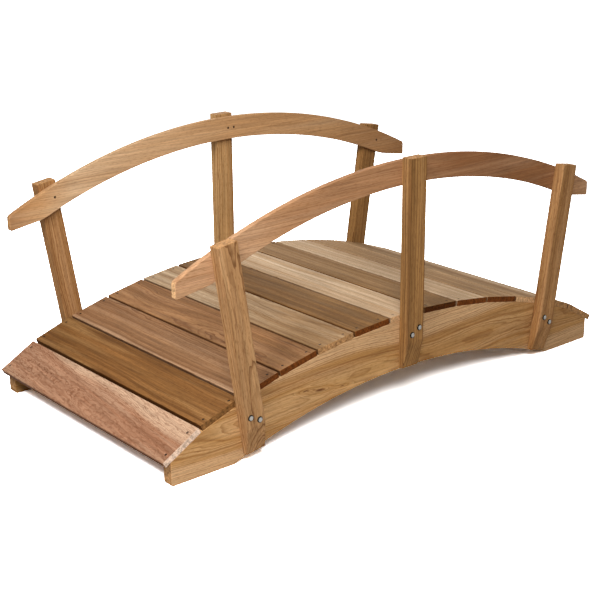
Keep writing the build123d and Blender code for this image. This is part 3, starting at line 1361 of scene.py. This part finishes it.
@dataclass
class CarriageBolts:
    """Dome-headed carriage bolts, two to a post, with washer, nut and the end of the thread inside.

    The thread's grooves start thread_flat behind the nut, and the bolt's tip narrows by tip_inset over
    tip_length.
    """

    posts: Posts
    diameter: float = 8.0
    head_diameter: float = 19.0
    head_height: float = 5.0
    spacing_across: float = 30.0
    spacing_up: float = 18.0
    washer_diameter: float = 22.0
    washer_thickness: float = 1.6
    washer_ease: float = 0.3
    nut_across_flats: float = 13.0
    nut_height: float = 6.5
    nut_ease: float = 0.6
    thread_pitch: float = 1.25
    thread_depth: float = 0.6
    thread_flat: float = 0.3
    thread_tail: float = 5.0
    tip_inset: float = 1.0
    tip_length: float = 0.6
    dome_steps: int = 8
    turn_steps: int = 40

    def build(self) -> None:
        """Makes the pair of bolts of each post as one piece."""
        steel = PlatedSteel().material()
        for side in Side:
            for station in Station:
                place = self.posts.place(side, station)
                pair = bmesh.new()
                for seat in self._seats(side, station):
                    before = set(pair.verts)
                    self._bolt(pair)
                    bmesh.ops.translate(pair, verts=[v for v in pair.verts if v not in before], vec=seat)
                name = f"bolts_{side.label}_{station.label}"
                make_piece(pair, f"carriage_{name}", place, steel, (name,))

    def _seats(self, side: Side, station: Station) -> list[Vector]:
        """Sets the two bolts of a post, on a diagonal.

        Args:
            side: Side of the bridge.
            station: Place of the post.

        Returns:
            Their places in the post's plank frame.
        """
        turn = -1 if station is Station.MIDDLE else 1
        up, towards_exit = turn * self.spacing_up / 2, side.value * self.spacing_across / 2
        return [Vector((end * up, -end * towards_exit, self.posts.thickness)) for end in (1, -1)]

    def _lathe(self, bm: BMesh, profile: list[tuple[float, float]]) -> None:
        """Turns a profile of radius and height into a round solid.

        Args:
            bm: Mesh that gets the solid.
            profile: Its points from the axis, round and back to the axis.
        """
        points = [bm.verts.new((r, 0.0, z)) for r, z in profile]
        lines = [bm.edges.new(pair) for pair in zip(points, points[1:])]
        bmesh.ops.spin(
            bm,
            geom=[*points, *lines],
            cent=(0, 0, 0),
            axis=(0, 0, 1),
            angle=2 * math.pi,
            steps=self.turn_steps,
            use_merge=True,
        )

    def _bolt(self, bm: BMesh) -> None:
        """Adds one bolt on the z axis, its head's underside at height 0.

        Args:
            bm: Mesh that gets the bolt.
        """
        start = len(bm.faces)
        grip = self.posts.thickness + self.posts.stringers.thickness
        core = self.diameter / 2
        turns = [i * math.pi / 2 / self.dome_steps for i in reversed(range(self.dome_steps))]
        head = [(self.head_diameter / 2 * math.cos(a), self.head_height * math.sin(a)) for a in turns]
        nut_end = -(grip + self.washer_thickness + self.nut_height)
        tail = [(core, nut_end)]
        for turn in range(int(self.thread_tail / self.thread_pitch)):
            groove = nut_end - (turn + 0.5) * self.thread_pitch + self.thread_flat
            tail += [(core - self.thread_depth, groove), (core, groove - self.thread_pitch / 2)]
        tip = tail[-1][1] - self.tip_length
        tail += [(core - self.tip_inset, tip), (0.0, tip)]
        self._lathe(bm, [(0.0, self.head_height), *head, (core, 0.0), *tail])
        washer, ease = self.washer_diameter / 2, self.washer_ease
        top, bottom = -grip, -(grip + self.washer_thickness)
        rim = [(washer - ease, top), (washer, top - ease), (washer, bottom + ease), (washer - ease, bottom)]
        self._lathe(bm, [(core, top), *rim, (core, bottom), (core, top)])
        bmesh.ops.remove_doubles(bm, verts=bm.verts, dist=0.001)
        bm.faces.ensure_lookup_table()
        for face in bm.faces[start:]:
            face.smooth = abs(face.normal.z) < 0.999
        self._nut(bm, bottom)
        bmesh.ops.recalc_face_normals(bm, faces=bm.faces)

    def _nut(self, bm: BMesh, top: float) -> None:
        """Adds the hexagon nut under the washer.

        Args:
            bm: Mesh that gets the nut.
            top: Height of its top.
        """
        corner = self.nut_across_flats / 2 / math.cos(math.pi / 6)
        before = set(bm.edges)
        matrix = Matrix.Translation((0.0, 0.0, top - self.nut_height / 2))
        sizes = {"radius1": corner, "radius2": corner, "depth": self.nut_height}
        bmesh.ops.create_cone(bm, cap_ends=True, segments=6, matrix=matrix, **sizes)
        round_edges(bm, [e for e in bm.edges if e not in before], self.nut_ease, segments=2)


@dataclass(frozen=True)
class Softbox:
    """A soft square lamp: its place, the point it faces and its width in metres, and its power in watts."""

    name: str
    at: tuple[float, float, float]
    towards: tuple[float, float, float]
    width: float
    power: float

    def build(self) -> None:
        """Hangs the lamp."""
        data = bpy.data.lights.new(self.name, "AREA")
        data.shape = "SQUARE"
        data.size = self.width
        data.energy = self.power
        lamp = bpy.data.objects.new(self.name, data)
        lamp.location = self.at
        lamp.rotation_euler = (Vector(self.towards) - Vector(self.at)).to_track_quat("-Z", "Y").to_euler()
        bpy.context.scene.collection.objects.link(lamp)


@dataclass
class Studio:
    """A pale floor, soft even light and a camera at the photograph's angle."""

    camera_at: tuple[float, float, float] = (-2.6651, -3.1177, 1.6078)
    yaw: float = math.radians(49.975)
    pitch: float = math.radians(-18.63)
    roll: float = math.radians(-0.463)
    focal_pixels: float = 1291.6
    picture_width: float = 600.0
    sensor: float = 36.0
    floor_size: float = 120.0
    floor_gain: float = 4.6
    floor_bounce: float = 0.6
    fill: float = 0.31
    horizon_fill: float = 0.07
    full_fill_height: float = 0.7
    lamps: tuple[Softbox, ...] = (
        Softbox("overhead_softbox", (-2.6, -1.05, 2.7), (0.0, 0.0, 0.2), 1.0, 86.0),
        Softbox("front_softbox", (-2.1, -2.9, 2.9), (0.0, 0.0, 0.35), 1.3, 103.0),
        Softbox("back_softbox", (1.5, 2.7, 2.3), (0.0, 0.0, 0.3), 1.6, 40.0),
    )

    def build(self) -> None:
        """Makes the floor, the light and the camera."""
        self._floor()
        self._world()
        for lamp in self.lamps:
            lamp.build()
        self._camera()
        bpy.context.scene.view_settings.view_transform = "Standard"

    def _floor(self) -> None:
        """A wide white floor that keeps the bridge's shadow."""
        bm = bmesh.new()
        bmesh.ops.create_grid(bm, x_segments=1, y_segments=1, size=self.floor_size / 2)
        floor = add_object(bm, "studio_floor")
        made, tree = blank_material("white_paper_sweep")
        seen = add_node(tree, "LightPath").outputs["Is Camera Ray"]
        gain = {VALUE: seen, AT_LOW: self.floor_bounce, AT_HIGH: self.floor_gain}
        paper = add_node(tree, "BsdfDiffuse", {"Color": add_node(tree, "MapRange", gain)})
        add_node(tree, "OutputMaterial", {"Surface": paper})
        floor.data.materials.append(made)

    def _world(self) -> None:
        """Even light from all round, behind which the camera sees plain white."""
        world = bpy.data.worlds.new("studio")
        bpy.context.scene.world = world
        world.use_nodes = True
        tree = world.node_tree
        tree.nodes.clear()
        path = add_node(tree, "LightPath")
        seen = path.outputs["Is Camera Ray"]
        for ray in ("Is Glossy Ray", "Is Transmission Ray"):
            seen = add_node(tree, "Math", {0: seen, 1: path.outputs[ray]}, operation="MAXIMUM")
        towards = add_node(tree, "TexCoord").outputs["Generated"]
        height = add_node(tree, "SeparateXYZ", {0: towards}).outputs["Z"]
        sky = {VALUE: height, HIGH: self.full_fill_height, AT_LOW: self.horizon_fill, AT_HIGH: self.fill}
        fill = add_node(tree, "MapRange", sky)
        strength = add_node(tree, "MapRange", {VALUE: seen, AT_LOW: fill, AT_HIGH: 1.0})
        white = add_node(tree, "Background", {"Color": (1, 1, 1, 1), "Strength": strength})
        add_node(tree, "OutputWorld", {"Surface": white})

    def _camera(self) -> None:
        """Sets the camera where the photograph's was."""
        flat = Vector((math.cos(self.yaw), math.sin(self.yaw), 0.0)) * math.cos(self.pitch)
        ahead = flat + Vector((0.0, 0.0, math.sin(self.pitch)))
        level = Vector((math.sin(self.yaw), -math.cos(self.yaw), 0.0))
        above = level.cross(ahead)
        right = level * math.cos(self.roll) + above * math.sin(self.roll)
        up = -level * math.sin(self.roll) + above * math.cos(self.roll)
        data = bpy.data.cameras.new("photo_camera")
        data.sensor_width = self.sensor
        data.lens = self.focal_pixels / self.picture_width * self.sensor
        camera = bpy.data.objects.new("photo_camera", data)
        turned = Matrix((right, up, -ahead)).transposed().to_4x4()
        camera.matrix_world = Matrix.Translation(self.camera_at) @ turned
        bpy.context.scene.collection.objects.link(camera)
        bpy.context.scene.camera = camera


def main() -> None:
    """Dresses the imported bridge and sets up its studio."""
    logging.basicConfig(level=logging.INFO, format="%(message)s")
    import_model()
    line = DeckLine()
    screws = Screws()
    stringers = Stringers(line)
    rails = Handrails(line, screws)
    posts = Posts(line, stringers, rails)
    for assembly in (DeckBoards(line, screws), stringers, rails, posts, CarriageBolts(posts), Studio()):
        LOG.info("building %s", type(assembly).__name__)
        assembly.build()


if __name__ == "__main__":
    main()
